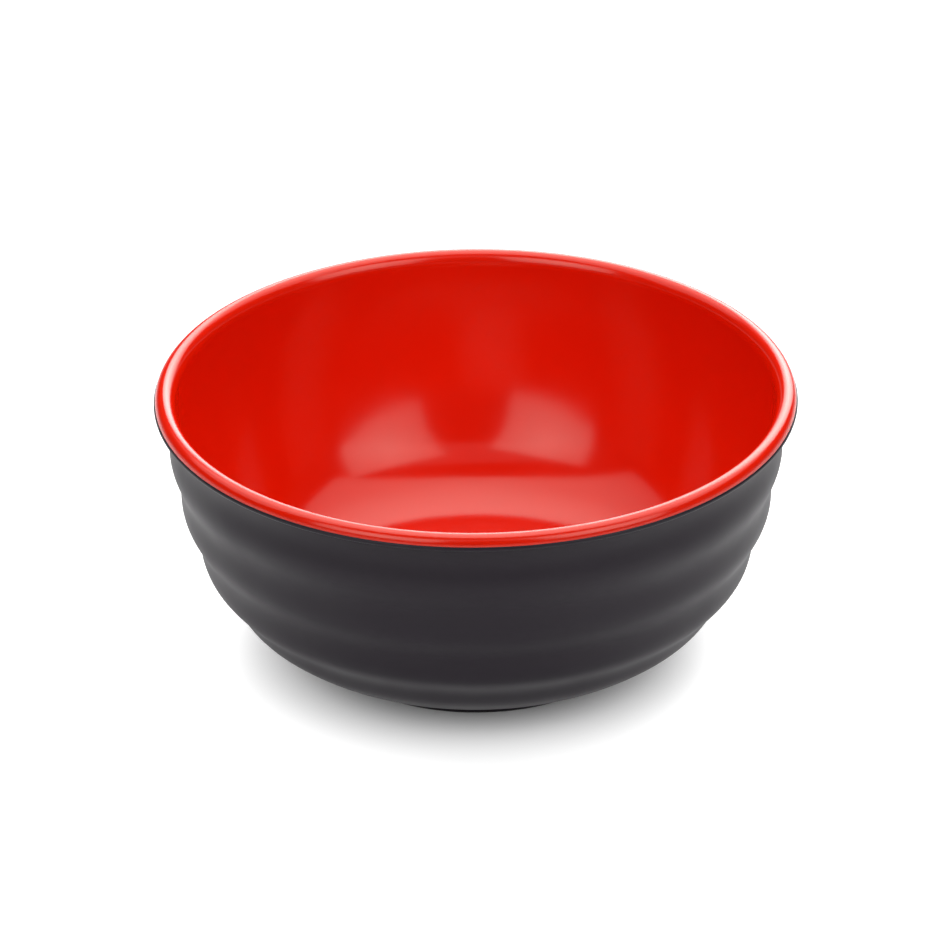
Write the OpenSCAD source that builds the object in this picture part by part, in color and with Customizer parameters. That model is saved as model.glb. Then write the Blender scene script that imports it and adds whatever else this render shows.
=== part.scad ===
// Ribbed two-tone melamine bowl.
// A black outer shell carries soft level ribs, a narrow lip and a foot ring.
// A red liner covers its inside and ends in a rounded bead that caps the rim.
// Millimetres, +Z up, origin on the table at the centre of the foot ring.

/* [Bowl] */
// Outside diameter across the lip
bowl_d = 180; // [165:1:195]
// Height from the table to the crest of the bead
bowl_h = 79.8; // [75:0.2:86]
// Section radius of the upper wall
wall_arc = 117; // [105:1:130]
// Section radius of the belly below the wall
belly_arc = 41; // [38:0.5:44]
// Depth below the crest at which the wall stands upright
upright_drop = 5.6; // [5:0.1:7]

/* [Layers] */
// Thickness of the black shell, taken midway between groove and crest
shell_t = 1.3; // [1.1:0.1:1.7]
// Thickness of the red liner below the bead
liner_t = 0.9; // [0.8:0.1:1.4]
// Thickness of the red liner at the middle of the floor
floor_t = 1.7; // [1.2:0.1:2.4]
// How much smaller the inside wall's section radius is than an even wall would have
inside_tuck = 12.4; // [4:0.2:16]
// How much smaller the inside belly's section radius is than the seam's
belly_tuck = 2.5; // [1.6:0.1:2.8]

/* [Ribs] */
// Depth of a groove below the crests on either side
rib_depth = 1.2; // [0.6:0.1:1.6]
// Distance from one groove to the next, along the wall
rib_pitch = 16.8; // [15:0.1:18]
// Depth of the first groove below the crest of the bead
first_groove_drop = 9.8; // [9:0.1:12]
// Number of grooves from the lip down to the plain belly
groove_count = 4; // [2:1:4]

/* [Rim] */
// How far the lip stands out from the upright wall
lip_overhang = 3.8; // [3.2:0.1:4.6]
// Radius of the round that runs along the edge of the black lip
lip_round = 0.8; // [0.75:0.05:1]
// Height of the parting line above the middle of that round
part_rise = 0.65; // [0.4:0.05:0.7]
// Fillet in the corner under the lip
neck_round = 1.8; // [1:0.1:2]
// Height of the red bead above the parting line
bead_h = 2.6; // [2.2:0.1:3.2]
// Distance from the outside of the lip in to the crest of the bead
bead_out = 3; // [2.4:0.1:3.4]
// Height over which the inside of the bead rounds down into the wall
bead_in_h = 4.1; // [3:0.1:6]

/* [Foot] */
// Outside diameter of the foot ring
foot_d = 94; // [88:1:104]
// Width of the foot ring
foot_w = 5; // [3.5:0.1:6.5]
// Height of the belly's lowest point above the table
belly_lift = 4.6; // [4.2:0.1:6]
// Depth of the recess inside the foot ring
recess_h = 3.8; // [3:0.1:4]
// Round along both lower edges of the foot ring
foot_round = 0.8; // [0.4:0.1:1.2]
// Fillet between the foot ring and the belly
foot_fillet = 1; // [0.5:0.1:1.5]

/* [Smoothness] */
// Straight steps that make up one rib
rib_steps = 16; // [8:2:24]
// Largest gap between a round and the straight steps that make it up
round_gap = 0.02; // [0.01:0.01:0.05]
// Sides around the bowl in the preview
$fn = 144; // [72:8:256]

/* [Hidden] */
wall_t = shell_t + liner_t;
lip_r = bowl_d / 2;
neck_r = lip_r - lip_overhang;
crest_r = lip_r - bead_out;
part_z = bowl_h - bead_h;
under_z = part_z - part_rise - lip_round;
upright_z = bowl_h - upright_drop;

// The fillet under the lip stays within the overhang
neck_fillet = min(neck_round, lip_overhang - lip_round - rib_depth / 2);

// The inside round of the bead leaves a quarter of the liner at the parting line
crest_to_seam = lip_overhang + shell_t - bead_out;
bead_share = (crest_to_seam + liner_t / 4) / (crest_to_seam + liner_t);
bead_in = min(bead_in_h, bead_h / (1 - sqrt(1 - bead_share * bead_share)));
bead_in_z = bowl_h - bead_in;

// The inside round of the bead leans as the inside wall does where the two meet
inside_arc = wall_arc - wall_t - inside_tuck;
inside_lean = asin((upright_z - bead_in_z) / inside_arc);
bead_w = crest_r - neck_r + wall_t + inside_arc * (1 - cos(inside_lean));
lean_share = tan(inside_lean) * bead_in / bead_w;
bead_end = asin(lean_share / (1 - lean_share));
bead_in_a = bead_w / cos(bead_end);
bead_in_b = bead_in / (1 - sin(bead_end));

// The upper wall and the belly are two arcs that run into each other at the join
wall_c = [neck_r - wall_arc, upright_z];
belly_z = belly_lift + belly_arc;
join_tilt = asin((upright_z - belly_z) / (wall_arc - belly_arc));
belly_c = [wall_c[0] + (wall_arc - belly_arc) * cos(join_tilt), belly_z];

// Lengths along the outside, counted down from where the wall stands upright
mm_per_deg = PI / 180;
join_s = wall_arc * join_tilt * mm_per_deg;
groove_s = wall_arc * asin((first_groove_drop - upright_drop) / wall_arc) * mm_per_deg;
plain_s = groove_s + (groove_count - 0.5) * rib_pitch;
neck_s = wall_arc * asin((upright_z - under_z + neck_fillet) / wall_arc) * mm_per_deg;

// Lean of the outside at a length, as degrees that its normal points below level
function tilt(s) = s < join_s
    ? s / wall_arc / mm_per_deg
    : join_tilt + (s - join_s) / belly_arc / mm_per_deg;

// Height of the ribs at a length: a wave that ends on a crest and runs on as the plain belly
function wave(s) = s < plain_s
    ? -rib_depth / 2 * cos(360 * (s - groove_s) / rib_pitch)
    : rib_depth / 2;

// Point of the outside at a length
function outside(s) = s < join_s
    ? wall_c + (wall_arc + wave(s)) * [cos(tilt(s)), -sin(tilt(s))]
    : belly_c + (belly_arc + wave(s)) * [cos(tilt(s)), -sin(tilt(s))];

// Points of a round with half widths a and b, from one angle to another
function round_ab(c, a, b, from, to) =
    let (n = ceil(abs(to - from) / (2 * acos(1 - round_gap / max(a, b)))))
    [for (i = [0:n]) let (t = from + (to - from) * i / n) c + [a * cos(t), b * sin(t)]];
function round_r(c, r, from, to) = round_ab(c, r, r, from, to);

// Points of a smooth face from a height down to the axis: wall arc, belly arc and flat floor
function smooth_face(top_r, arc, belly, floor_z, z) =
    let (
        join = asin((upright_z - floor_z - belly) / (arc - belly)),
        c = [top_r - arc, upright_z]
    )
    concat(
        round_r(c, arc, asin((z - upright_z) / arc), -join),
        tail(round_r([c[0] + (arc - belly) * cos(join), floor_z + belly], belly, -join, -90)),
        [[0, floor_z]]
    );
function tail(list) = [for (i = [1:len(list) - 1]) list[i]];
function turned(list) = [for (i = [len(list) - 1:-1:0]) list[i]];

// Lip: the round along its edge, its underside and the fillet under it
neck = outside(neck_s);
lip_c = [lip_r - lip_round, under_z + lip_round];
part_tilt = asin(part_rise / lip_round);
part_r = lip_c[0] + lip_round * cos(part_tilt);
lip_line = concat(
    round_r(lip_c, lip_round, part_tilt, -90),
    round_r([neck[0] + neck_fillet, under_z - neck_fillet], neck_fillet, 90, 180)
);

// Ribs: the wave from the neck to its last crest
rib_n = ceil((plain_s - neck_s) / rib_pitch * rib_steps);
rib_line = [for (i = [1:rib_n]) outside(neck_s + (plain_s - neck_s) * i / rib_n)];

// Belly and foot ring: plain belly, fillet, ring with rounded edges, recess
foot_r = foot_d / 2;
foot_in_r = foot_r - foot_w;
belly_r = belly_arc + rib_depth / 2;
foot_tilt = acos((foot_r + foot_fillet - belly_c[0]) / (belly_r + foot_fillet));
fillet_c = belly_c + (belly_r + foot_fillet) * [cos(foot_tilt), -sin(foot_tilt)];
foot_line = concat(
    tail(round_r(belly_c, belly_r, -tilt(plain_s), -foot_tilt)),
    tail(round_r(fillet_c, foot_fillet, 180 - foot_tilt, 180)),
    round_r([foot_r - foot_round, foot_round], foot_round, 0, -90),
    round_r([foot_in_r + foot_round, foot_round], foot_round, -90, -180),
    [[foot_in_r, recess_h], [0, recess_h]]
);

// Seam: the face where shell and liner are moulded together, shared by both
seam_z = belly_lift + shell_t;
seam_line = smooth_face(neck_r - shell_t, wall_arc - shell_t, belly_arc - shell_t, seam_z, part_z);

// Bead: out over the lip from the crest, and in from the crest to the inside wall
bead_line = concat(
    round_ab([crest_r, part_z], part_r - crest_r, bead_h, 0, 90),
    tail(round_ab([crest_r, bowl_h - bead_in_b], bead_in_a, bead_in_b, 90, 180 - bead_end))
);
inside_belly = belly_arc - shell_t - belly_tuck;
inside_line = tail(smooth_face(neck_r - wall_t, inside_arc, inside_belly, seam_z + floor_t, bead_in_z));

// Black shell, pressed first: lip, ribs, belly and foot ring in one piece
module outer_shell() {
    color([0.09, 0.08, 0.09])
        rotate_extrude()
            polygon(concat(lip_line, rib_line, foot_line, turned(seam_line)));
}

// Red liner, pressed into the shell: bead over the rim, smooth wall that thickens to the belly, flat floor
module inner_liner() {
    color([0.8, 0.05, 0.01])
        rotate_extrude()
            polygon(concat(bead_line, inside_line, turned(seam_line)));
}

outer_shell();
inner_liner();
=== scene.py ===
import math

import bpy
import numpy as np
from mathutils import Matrix, Vector


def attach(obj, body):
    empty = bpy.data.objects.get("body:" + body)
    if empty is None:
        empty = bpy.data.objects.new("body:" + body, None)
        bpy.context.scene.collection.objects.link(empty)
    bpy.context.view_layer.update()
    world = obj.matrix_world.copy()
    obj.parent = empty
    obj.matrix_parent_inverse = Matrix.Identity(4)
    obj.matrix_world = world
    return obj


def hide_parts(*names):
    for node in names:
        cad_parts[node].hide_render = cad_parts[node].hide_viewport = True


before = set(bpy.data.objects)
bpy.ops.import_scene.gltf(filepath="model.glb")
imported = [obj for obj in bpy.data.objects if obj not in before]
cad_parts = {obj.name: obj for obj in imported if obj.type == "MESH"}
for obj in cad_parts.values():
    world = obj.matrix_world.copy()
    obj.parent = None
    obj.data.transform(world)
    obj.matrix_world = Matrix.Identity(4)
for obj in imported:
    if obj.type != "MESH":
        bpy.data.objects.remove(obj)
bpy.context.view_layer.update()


# Outer shell: the black outside of the bowl, pressed in melamine powder in a hot mould.
# Soft level ribs run round it below a narrow lip, and it stands on a ring with a shallow recess.
# It comes out of the mould with a fine satin skin, and the ring picks up scuffs from tables.
LIP_R, RIM_Z = 0.0900, 0.0798
WALL_ARC, BELLY_ARC = 0.117, 0.041
UPRIGHT_DROP, LIP_OVERHANG, BEAD_H = 0.0056, 0.0038, 0.0026
LIP_ROUND, PART_RISE, NECK_ROUND = 0.0008, 0.00065, 0.0018
RIB_DEPTH, RIB_PITCH, FIRST_GROOVE_DROP, GROOVES = 0.0012, 0.0168, 0.0098, 4
SHELL_T = 0.0013
BELLY_LIFT, RECESS_H, RECESS_EASE = 0.0046, 0.0038, 0.0006
FOOT_R, FOOT_W, FOOT_ROUND, FOOT_FILLET = 0.0470, 0.0050, 0.0008, 0.0010
EDGE_STEP = 0.00003  # keeps the parting line crisp under smooth shading

UPRIGHT_Z = RIM_Z - UPRIGHT_DROP
NECK_R = LIP_R - LIP_OVERHANG
PARTING_Z = RIM_Z - BEAD_H
UNDER_Z = PARTING_Z - PART_RISE - LIP_ROUND
WALL_C = np.array([NECK_R - WALL_ARC, UPRIGHT_Z])
BELLY_Z = BELLY_LIFT + BELLY_ARC
JOIN_TILT = math.asin((UPRIGHT_Z - BELLY_Z) / (WALL_ARC - BELLY_ARC))
BELLY_C = np.array([WALL_C[0] + (WALL_ARC - BELLY_ARC) * math.cos(JOIN_TILT), BELLY_Z])
JOIN_S = WALL_ARC * JOIN_TILT
GROOVE_S = WALL_ARC * math.asin((FIRST_GROOVE_DROP - UPRIGHT_DROP) / WALL_ARC)
PLAIN_S = GROOVE_S + (GROOVES - 0.5) * RIB_PITCH
NECK_S = WALL_ARC * math.asin((UPRIGHT_Z - UNDER_Z + NECK_ROUND) / WALL_ARC)


def arc(centre, radius, start, end, steps):
    """Points on a round: the centre plus the half widths times the cosine and sine of angles
    spaced evenly from start to end. One radius gives a circle, two give an ellipse."""
    turn = np.linspace(start, end, steps + 1)
    return np.asarray(centre) + np.asarray(radius) * np.stack([np.cos(turn), np.sin(turn)], axis=1)


def straight(start, end, steps):
    """Points spaced evenly from start to end, both ends left out."""
    share = np.linspace(0.0, 1.0, steps + 1)[1:-1, None]
    return np.asarray(start) * (1.0 - share) + np.asarray(end) * share


def ribbed_outside(s):
    """Points of the outside at lengths s down the wall. The wall arc runs into the belly arc, and
    each point moves off its arc by a cosine wave, which ends on a crest and stays there."""
    tilt = np.where(s < JOIN_S, s / WALL_ARC, JOIN_TILT + (s - JOIN_S) / BELLY_ARC)
    wave = np.where(s < PLAIN_S, -np.cos(2.0 * np.pi * (s - GROOVE_S) / RIB_PITCH), 1.0)
    reach = np.where(s < JOIN_S, WALL_ARC, BELLY_ARC) + RIB_DEPTH / 2.0 * wave
    centre = np.where((s < JOIN_S)[:, None], WALL_C, BELLY_C)
    return centre + reach[:, None] * np.stack([np.cos(tilt), -np.sin(tilt)], axis=1)


def smooth_face(top_r, wall_arc, belly_arc, floor_z, top_z, steps):
    """Points of a smooth face from a height down to the axis: a wall arc that stands upright at the
    top radius runs into a belly arc, and that arc runs into a flat floor at its lowest point."""
    wall_c = np.array([top_r - wall_arc, UPRIGHT_Z])
    belly_z = floor_z + belly_arc
    join = math.asin((UPRIGHT_Z - belly_z) / (wall_arc - belly_arc))
    belly_c = np.array([wall_c[0] + (wall_arc - belly_arc) * math.cos(join), belly_z])
    wall = arc(wall_c, wall_arc, math.asin((top_z - UPRIGHT_Z) / wall_arc), -join, steps)
    belly = arc(belly_c, belly_arc, -join, -math.pi / 2.0, steps)[1:]
    middle = np.array([0.0, floor_z])
    return np.concatenate([wall, belly, straight(belly[-1], middle, 8), [middle]])


def turned_piece(name, section, sides=240):
    """Turns a section about the upright axis. The section starts and ends on the axis, and grid
    point (i, j) lies at radius r[i] and height z[i], turned by j / sides of a full circle. The two
    ends are single points, joined to the first and last rows by fans."""
    radius, height = section[1:-1].T
    turn = np.linspace(0.0, 2.0 * np.pi, sides, endpoint=False)
    level = np.repeat(height[:, None], sides, axis=1)
    grid = np.stack([np.outer(radius, np.cos(turn)), np.outer(radius, np.sin(turn)), level], axis=-1)
    ends = np.array([[0.0, 0.0, section[0][1]], [0.0, 0.0, section[-1][1]]])
    points = np.concatenate([ends, grid.reshape(-1, 3)])
    here = 2 + np.arange(len(radius) * sides).reshape(len(radius), sides)
    beside = np.roll(here, -1, axis=1)
    quads = np.stack([here[:-1], beside[:-1], beside[1:], here[1:]], axis=-1).reshape(-1, 4)
    first_fan = np.stack([np.zeros_like(here[0]), beside[0], here[0]], axis=-1)
    last_fan = np.stack([np.ones_like(here[0]), here[-1], beside[-1]], axis=-1)
    mesh = bpy.data.meshes.new(name)
    mesh.from_pydata(points.tolist(), [], first_fan.tolist() + quads.tolist() + last_fan.tolist())
    mesh.polygons.foreach_set("use_smooth", np.ones(len(mesh.polygons), dtype=bool))
    mesh.update()
    piece = bpy.data.objects.new(name, mesh)
    bpy.context.scene.collection.objects.link(piece)
    return piece


foot_in = FOOT_R - FOOT_W
belly_r = BELLY_ARC + RIB_DEPTH / 2.0
foot_tilt = math.acos((FOOT_R + FOOT_FILLET - BELLY_C[0]) / (belly_r + FOOT_FILLET))
fillet_c = BELLY_C + (belly_r + FOOT_FILLET) * np.array([math.cos(foot_tilt), -math.sin(foot_tilt)])
plain_tilt = JOIN_TILT + (PLAIN_S - JOIN_S) / BELLY_ARC
neck = ribbed_outside(np.array([NECK_S]))[0]
lip_c = np.array([LIP_R - LIP_ROUND, UNDER_Z + LIP_ROUND])
part_tilt = math.asin(PART_RISE / LIP_ROUND)
part_r = lip_c[0] + LIP_ROUND * math.cos(part_tilt)
seam = smooth_face(NECK_R - SHELL_T, WALL_ARC - SHELL_T, BELLY_ARC - SHELL_T,
                   BELLY_LIFT + SHELL_T, PARTING_Z, 32)

recess = np.concatenate([
    [[0.0, RECESS_H]],
    straight((0.0, RECESS_H), (foot_in - RECESS_EASE, RECESS_H), 10),
    arc((foot_in - RECESS_EASE, RECESS_H - RECESS_EASE), RECESS_EASE, math.pi / 2.0, 0.0, 5),
])
foot_ring = np.concatenate([
    straight((foot_in, RECESS_H - RECESS_EASE), (foot_in, FOOT_ROUND), 4),
    arc((foot_in + FOOT_ROUND, FOOT_ROUND), FOOT_ROUND, math.pi, 1.5 * math.pi, 8),
    straight((foot_in + FOOT_ROUND, 0.0), (FOOT_R - FOOT_ROUND, 0.0), 5),
    arc((FOOT_R - FOOT_ROUND, FOOT_ROUND), FOOT_ROUND, -math.pi / 2.0, 0.0, 8),
    straight((FOOT_R, FOOT_ROUND), (FOOT_R, fillet_c[1]), 4),
    arc(fillet_c, FOOT_FILLET, math.pi, math.pi - foot_tilt, 6),
])
belly = arc(BELLY_C, belly_r, -foot_tilt, -plain_tilt, 24)[1:-1]
ribs = ribbed_outside(np.linspace(PLAIN_S, NECK_S, 104))
lip = np.concatenate([
    arc((neck[0] + NECK_ROUND, UNDER_Z - NECK_ROUND), NECK_ROUND, math.pi, math.pi / 2.0, 12)[1:],
    arc(lip_c, LIP_ROUND, -math.pi / 2.0, part_tilt - EDGE_STEP / LIP_ROUND, 20),
    [[part_r, PARTING_Z], [part_r - EDGE_STEP, PARTING_Z]],
    straight((part_r - EDGE_STEP, PARTING_Z), seam[0], 5),
])
shell = turned_piece("black_outer_shell", np.concatenate([recess, foot_ring, belly, ribs, lip, seam]))

# Moulded skin: a slow unevenness of the gloss, a fine grain and faint clouds in the colour
NOISE_LOW, NOISE_HIGH = 0.3, 0.7
skin = bpy.data.node_groups.new("moulded_skin", "ShaderNodeTree")
for socket in ("Ripple scale", "Grain scale", "Cloud scale"):
    skin.interface.new_socket(socket, in_out="INPUT", socket_type="NodeSocketFloat")
for socket in ("Ripple", "Grain", "Clouds"):
    skin.interface.new_socket(socket, in_out="OUTPUT", socket_type="NodeSocketFloat")
skin_in = skin.nodes.new("NodeGroupInput")
skin_out = skin.nodes.new("NodeGroupOutput")
skin_place = skin.nodes.new("ShaderNodeTexCoord")
for effect, detail in (("Ripple", 1.0), ("Grain", 2.0), ("Cloud", 4.0)):
    noise = skin.nodes.new("ShaderNodeTexNoise")
    noise.inputs["Detail"].default_value = detail
    skin.links.new(skin_place.outputs["Object"], noise.inputs["Vector"])
    skin.links.new(skin_in.outputs[effect + " scale"], noise.inputs["Scale"])
    skin.links.new(noise.outputs["Fac"], skin_out.inputs["Clouds" if effect == "Cloud" else effect])


def feed(tree, socket, value):
    """Gives a socket a number or colour of its own, or links it to another node's output."""
    if isinstance(value, bpy.types.NodeSocket):
        tree.links.new(value, socket)
    else:
        socket.default_value = value


def combine(tree, operation, first, second):
    """A math node on two values. Returns its output."""
    node = tree.nodes.new("ShaderNodeMath")
    node.operation = operation
    feed(tree, node.inputs[0], first)
    feed(tree, node.inputs[1], second)
    return node.outputs["Value"]


def between(tree, value, start, end, low, high, ease=False):
    """A map range node: low where the value is at its start, high where it is at its end, and
    straight or eased in between. Returns its output."""
    node = tree.nodes.new("ShaderNodeMapRange")
    node.interpolation_type = "SMOOTHSTEP" if ease else "LINEAR"
    for socket, setting in (("Value", value), ("From Min", start), ("From Max", end),
                            ("To Min", low), ("To Max", high)):
        feed(tree, node.inputs[socket], setting)
    return node.outputs["Result"]


def mixed(tree, kind, share, first, second):
    """A mix node: the first colour or value where the share is 0, the second where it is 1.
    Returns its output."""
    node = tree.nodes.new("ShaderNodeMix")
    node.data_type = kind
    for socket, setting in (("Factor", share), ("A", first), ("B", second)):
        feed(tree, node.inputs[socket], setting)
    return node.outputs["Result"]


def bumped(tree, height, distance):
    """A bump node over a height field that swings by a distance in metres."""
    node = tree.nodes.new("ShaderNodeBump")
    node.inputs["Distance"].default_value = distance
    tree.links.new(height, node.inputs["Height"])
    return node


def melamine(name, dark, light, ior, roughness, ripple, grain, clouds):
    """A melamine skin: clouds mix two near colours and spread the roughness between two values,
    and the chosen ripple and grain, each a scale and a height in metres, make the bump.
    Returns the material, its shader and the outputs that hold the colour and the roughness."""
    material = bpy.data.materials.new(name)
    material.use_nodes = True
    tree = material.node_tree
    shader = tree.nodes["Principled BSDF"]
    shader.inputs["IOR"].default_value = ior
    surface = tree.nodes.new("ShaderNodeGroup")
    surface.node_tree = skin
    surface.inputs["Ripple scale"].default_value = ripple[0]
    surface.inputs["Grain scale"].default_value = grain[0]
    surface.inputs["Cloud scale"].default_value = clouds
    tint = mixed(tree, "RGBA", surface.outputs["Clouds"], (*dark, 1.0), (*light, 1.0))
    gloss = between(tree, surface.outputs["Clouds"], NOISE_LOW, NOISE_HIGH, *roughness)
    slow = bumped(tree, surface.outputs["Ripple"], ripple[1])
    fine = bumped(tree, surface.outputs["Grain"], grain[1])
    tree.links.new(slow.outputs["Normal"], fine.inputs["Normal"])
    tree.links.new(tint, shader.inputs["Base Color"])
    tree.links.new(gloss, shader.inputs["Roughness"])
    tree.links.new(fine.outputs["Normal"], shader.inputs["Normal"])
    return material, shader, tint, gloss


black, black_shader, black_tint, black_gloss = melamine(
    "black_satin_melamine", dark=(0.0074, 0.0032, 0.0086), light=(0.0098, 0.0046, 0.0110), ior=1.38,
    roughness=(0.40, 0.46), ripple=(45.0, 0.00002), grain=(2600.0, 0.000004), clouds=60.0)

# Scuffs where the ring meets the table: paler and duller over the lowest millimetre
SCUFF_H, SCUFF_SCALE, SCUFF_DETAIL = 0.0010, 900.0, 6.0
SCUFF_COLOUR, SCUFF_ROUGHNESS = (0.075, 0.070, 0.075, 1.0), 0.7
tree = black.node_tree
place = tree.nodes.new("ShaderNodeTexCoord")
height = tree.nodes.new("ShaderNodeSeparateXYZ")
tree.links.new(place.outputs["Object"], height.inputs["Vector"])
near_table = between(tree, height.outputs["Z"], SCUFF_H, 0.0, 0.0, 1.0)
scratches = tree.nodes.new("ShaderNodeTexNoise")
scratches.inputs["Scale"].default_value = SCUFF_SCALE
scratches.inputs["Detail"].default_value = SCUFF_DETAIL
tree.links.new(place.outputs["Object"], scratches.inputs["Vector"])
scuffs = combine(tree, "MULTIPLY", near_table, scratches.outputs["Fac"])
feed(tree, black_shader.inputs["Base Color"], mixed(tree, "RGBA", scuffs, black_tint, SCUFF_COLOUR))
feed(tree, black_shader.inputs["Roughness"], mixed(tree, "FLOAT", scuffs, black_gloss, SCUFF_ROUGHNESS))

shell.data.materials.append(black)
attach(shell, "root")
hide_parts("outer_shell")


# Inner liner: the red inside, a second charge of melamine pressed into the shell and bonded to it.
# Its rounded bead laps over the shell's lip, and its wall runs smooth down to a flat floor.
# A clear, slightly warm melamine glaze gives it a gloss with the faint waviness of a moulded skin.
LINER_T, FLOOR_T, INSIDE_TUCK, BELLY_TUCK = 0.0009, 0.0017, 0.0124, 0.0025
WALL_T = SHELL_T + LINER_T
BEAD_OUT, BEAD_IN_H = 0.0030, 0.0041
CREST_R = LIP_R - BEAD_OUT
bead_in_z = RIM_Z - BEAD_IN_H

inside_arc = WALL_ARC - WALL_T - INSIDE_TUCK
inside = smooth_face(NECK_R - WALL_T, inside_arc, BELLY_ARC - SHELL_T - BELLY_TUCK,
                     BELLY_LIFT + SHELL_T + FLOOR_T, bead_in_z, 36)
bead_w = CREST_R - inside[0][0]
lean_share = math.tan(math.asin((UPRIGHT_Z - bead_in_z) / inside_arc)) * BEAD_IN_H / bead_w
bead_end = math.asin(lean_share / (1.0 - lean_share))
bead_in = np.array([bead_w / math.cos(bead_end), BEAD_IN_H / (1.0 - math.sin(bead_end))])
lap = seam[::-1]
bead = np.concatenate([
    straight(lap[-1], (part_r - EDGE_STEP, PARTING_Z), 5),
    [[part_r - EDGE_STEP, PARTING_Z], [part_r, PARTING_Z]],
    arc((CREST_R, PARTING_Z), (part_r - CREST_R, BEAD_H), EDGE_STEP / BEAD_H, math.pi / 2.0, 28),
    arc((CREST_R, RIM_Z - bead_in[1]), bead_in, math.pi / 2.0, math.pi - bead_end, 40)[1:],
])
liner = turned_piece("red_inner_liner", np.concatenate([lap, bead, inside[1:]]))

red, red_shader, *_ = melamine(
    "red_glazed_melamine", dark=(0.645, 0.0085, 0.0003), light=(0.705, 0.0110, 0.0008), ior=1.50,
    roughness=(0.13, 0.165), ripple=(70.0, 0.00003), grain=(1400.0, 0.0000015), clouds=35.0)
red_shader.inputs["Specular Tint"].default_value = (1.0, 0.96, 0.84, 1.0)
liner.data.materials.append(red)
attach(liner, "root")
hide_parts("inner_liner")


# Floor: a wide white table that the bowl stands on, lit by the lamps and holding its shadow.
# Its own glow lights nothing: it grows from nothing at the bowl's foot to white a hand's breadth away,
# so the tight dark ring round the foot is painted shadow, made by leaving the glow out there.
# The camera sees all of it, and shiny surfaces most of it at the foot and a part of it further out,
# which paints the floor's reflection in the black body: pale along the lowest belly and dim higher up.
FLOOR_HALF, FLOOR_DROP = 4.0, 0.0001
FLOOR_WHITE, FLOOR_ROUGHNESS = (0.80, 0.80, 0.80, 1.0), 0.9
# Glow stops near the bowl: none at the foot, which paints the shadow round it
SHADOW_GLOW_REACH = 0.30
SHADOW_GLOW_STOPS = ((0.039, 0.0), (0.0801, 0.72), (SHADOW_GLOW_REACH, 0.30))  # metres from the axis, strength
FAR_FROM, FAR_TO, FAR_GLOW = 0.40, 1.40, 0.70
# Share of the glow that shiny surfaces see, by distance from the axis: painted reflection, most at the
# foot
PAINTED_REFLECTION_FROM, PAINTED_REFLECTION_TO, PAINTED_REFLECTION_MOST, PAINTED_REFLECTION_LEAST = 0.056, 0.080, 0.80, 0.18
across = np.linspace(-FLOOR_HALF, FLOOR_HALF, 2)
corner_x, corner_y = np.meshgrid(across, across)
corners = np.stack([corner_x.ravel(), corner_y.ravel(), np.full(4, -FLOOR_DROP)], axis=1)
table_mesh = bpy.data.meshes.new("table_with_painted_shadow")
table_mesh.from_pydata(corners.tolist(), [], [[0, 1, 3, 2]])
table = bpy.data.objects.new("table_with_painted_shadow", table_mesh)
bpy.context.scene.collection.objects.link(table)
white = bpy.data.materials.new("white_table_top")
white.use_nodes = True
tree = white.node_tree
white_shader = tree.nodes["Principled BSDF"]
white_shader.inputs["Base Color"].default_value = FLOOR_WHITE
white_shader.inputs["Roughness"].default_value = FLOOR_ROUGHNESS
white_shader.inputs["Specular IOR Level"].default_value = 0.0
white_shader.inputs["Emission Color"].default_value = (1.0, 1.0, 1.0, 1.0)
place = tree.nodes.new("ShaderNodeTexCoord")
length = tree.nodes.new("ShaderNodeVectorMath")
length.operation = "LENGTH"
tree.links.new(place.outputs["Object"], length.inputs[0])
reach = length.outputs["Value"]
# The glow by distance from the axis; left out at the foot, it paints the shadow there
shadow_glow_ramp = tree.nodes.new("ShaderNodeValToRGB")
shadow_glow_ramp.color_ramp.interpolation = "EASE"
shadow_glow_ramp.color_ramp.elements.new(0.5)
for stop, (distance, strength) in zip(shadow_glow_ramp.color_ramp.elements, SHADOW_GLOW_STOPS):
    stop.position = distance / SHADOW_GLOW_REACH
    stop.color = (strength, strength, strength, 1.0)
tree.links.new(combine(tree, "DIVIDE", reach, SHADOW_GLOW_REACH), shadow_glow_ramp.inputs["Fac"])
far_glow = between(tree, reach, FAR_FROM, FAR_TO, 0.0, FAR_GLOW, ease=True)
glow_with_painted_shadow = combine(tree, "ADD", shadow_glow_ramp.outputs["Color"], far_glow)
rays = tree.nodes.new("ShaderNodeLightPath")
# Painted reflection: glossy rays see this share of the glow, most near the foot
painted_reflection_share = between(tree, reach, PAINTED_REFLECTION_FROM, PAINTED_REFLECTION_TO, PAINTED_REFLECTION_MOST, PAINTED_REFLECTION_LEAST, ease=True)
painted_reflection_share = combine(tree, "MULTIPLY", rays.outputs["Is Glossy Ray"], painted_reflection_share)
seen = combine(tree, "MAXIMUM", rays.outputs["Is Camera Ray"], painted_reflection_share)
seen = combine(tree, "MAXIMUM", seen, rays.outputs["Is Transmission Ray"])
feed(tree, white_shader.inputs["Emission Strength"], combine(tree, "MULTIPLY", glow_with_painted_shadow, seen))
table.data.materials.append(white)


# Studio: a softbox above and behind the bowl under a pale ceiling, a low panel behind it, a softbox on
# each side in front of it and a dim card over the camera, most of them gridded to keep their light in.
# The room is dim, with a white band along the horizon as a backdrop.
bowl = Vector((0.0, 0.0, 0.06))


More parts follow.
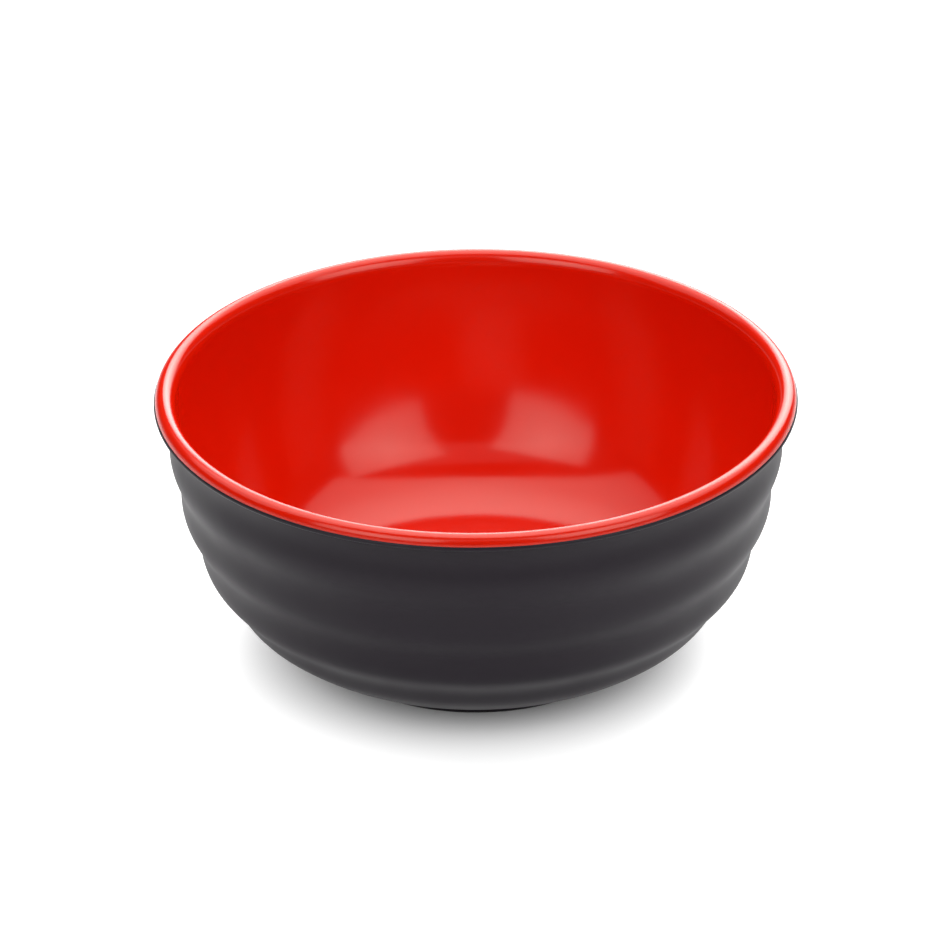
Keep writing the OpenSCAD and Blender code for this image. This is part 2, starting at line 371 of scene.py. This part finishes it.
def softbox(name, place, aim, width, height, radiance, grid=180.0, roll=0.0):
    """A soft lamp at a place, turned to face its aim, with its angles in degrees. Its watts are pi
    times its area times the brightness that its face shows straight on. A grid over the face dims it
    evenly with the tangent of the angle off that line, to nothing at half the grid's own angle."""
    half = math.radians(grid) / 2.0
    share = 1.0 if grid >= 180.0 else (math.tan(half) - half) / math.tan(half)
    lamp = bpy.data.lights.new(name, "AREA")
    lamp.shape = "RECTANGLE"
    lamp.size, lamp.size_y = width, height
    lamp.spread = math.radians(grid)
    lamp.energy = radiance * math.pi * width * height * share
    holder = bpy.data.objects.new(name, lamp)
    holder.location = place
    facing = (Vector(aim) - Vector(place)).to_track_quat("-Z", "Y").to_matrix()
    holder.rotation_euler = (facing @ Matrix.Rotation(math.radians(roll), 3, "Z")).to_euler()
    bpy.context.scene.collection.objects.link(holder)


def around_bowl(azimuth, elevation, distance):
    """A place seen from the bowl, at a distance and two angles in degrees. The azimuth counts to the
    right from the camera's side."""
    turn, rise = math.radians(azimuth), math.radians(elevation)
    level = distance * math.cos(rise)
    return bowl + Vector((level * math.sin(turn), -level * math.cos(turn), distance * math.sin(rise)))


ABOVE_RISE, ABOVE_SLIDE = 58.0, 0.30
above = around_bowl(176.0, ABOVE_RISE, 1.1)
lean = math.radians(ABOVE_RISE)
slide = ABOVE_SLIDE * Vector((0.0, -math.sin(lean), math.cos(lean)))
softbox("softbox_above", above + slide, bowl + slide, 2.2, 1.5, 1.8, grid=84.0)
softbox("ceiling", (-0.21, 0.33, 0.90), (-0.21, 0.33, 0.0), 2.47, 1.0, 2.3, grid=136.0)
softbox("panel_behind", around_bowl(168.3, 25.0, 1.5), bowl, 1.30, 1.05, 8.0, grid=64.0)
softbox("softbox_right", around_bowl(46.0, 33.8, 1.2), bowl, 0.86, 0.86, 3.1, grid=80.0, roll=-8.0)
softbox("softbox_left", around_bowl(-35.5, 32.4, 1.2), bowl, 0.84, 0.79, 3.05, grid=80.0, roll=3.0)
softbox("card_over_camera", around_bowl(4.0, 53.0, 1.2), bowl, 1.6, 0.42, 0.42)

# Room: dim all round, with the white band up to a low height, which the camera sees in full
BAND_TOP, BAND_END, BAND_LIGHT, ROOM_LIGHT = 0.08, 0.10, 0.35, 0.04
world = bpy.data.worlds.new("dim_studio")
bpy.context.scene.world = world
world.use_nodes = True
tree = world.node_tree
sky = tree.nodes["Background"]
sky.inputs["Color"].default_value = (1.0, 1.0, 1.0, 1.0)
place = tree.nodes.new("ShaderNodeTexCoord")
height = tree.nodes.new("ShaderNodeSeparateXYZ")
tree.links.new(place.outputs["Generated"], height.inputs["Vector"])
rays = tree.nodes.new("ShaderNodeLightPath")
band = combine(tree, "MAXIMUM", rays.outputs["Is Camera Ray"], BAND_LIGHT)
backdrop = between(tree, height.outputs["Z"], BAND_TOP, BAND_END, band, ROOM_LIGHT, ease=True)
feed(tree, sky.inputs["Strength"], backdrop)


# Camera: a long lens about a metre away, at the photograph's angle a little above the rim.
# It is turned by a hair, as the photographer held it.
aim = Vector((-0.00174, 0.0, 0.05186))
elevation, distance = math.radians(28.293), 1.1284
hand_turn = math.radians(-0.42)
lens = bpy.data.cameras.new("photo_lens")
lens.sensor_width = 36.0
lens.lens = 152.73
camera = bpy.data.objects.new("photo_camera", lens)
camera.location = aim + distance * Vector((0.0, -math.cos(elevation), math.sin(elevation)))
stand = Matrix.Rotation(math.pi / 2.0 - elevation, 3, "X") @ Matrix.Rotation(hand_turn, 3, "Z")
camera.rotation_euler = stand.to_euler()
bpy.context.scene.collection.objects.link(camera)
bpy.context.scene.camera = camera
bpy.context.scene.view_settings.view_transform = "Standard"
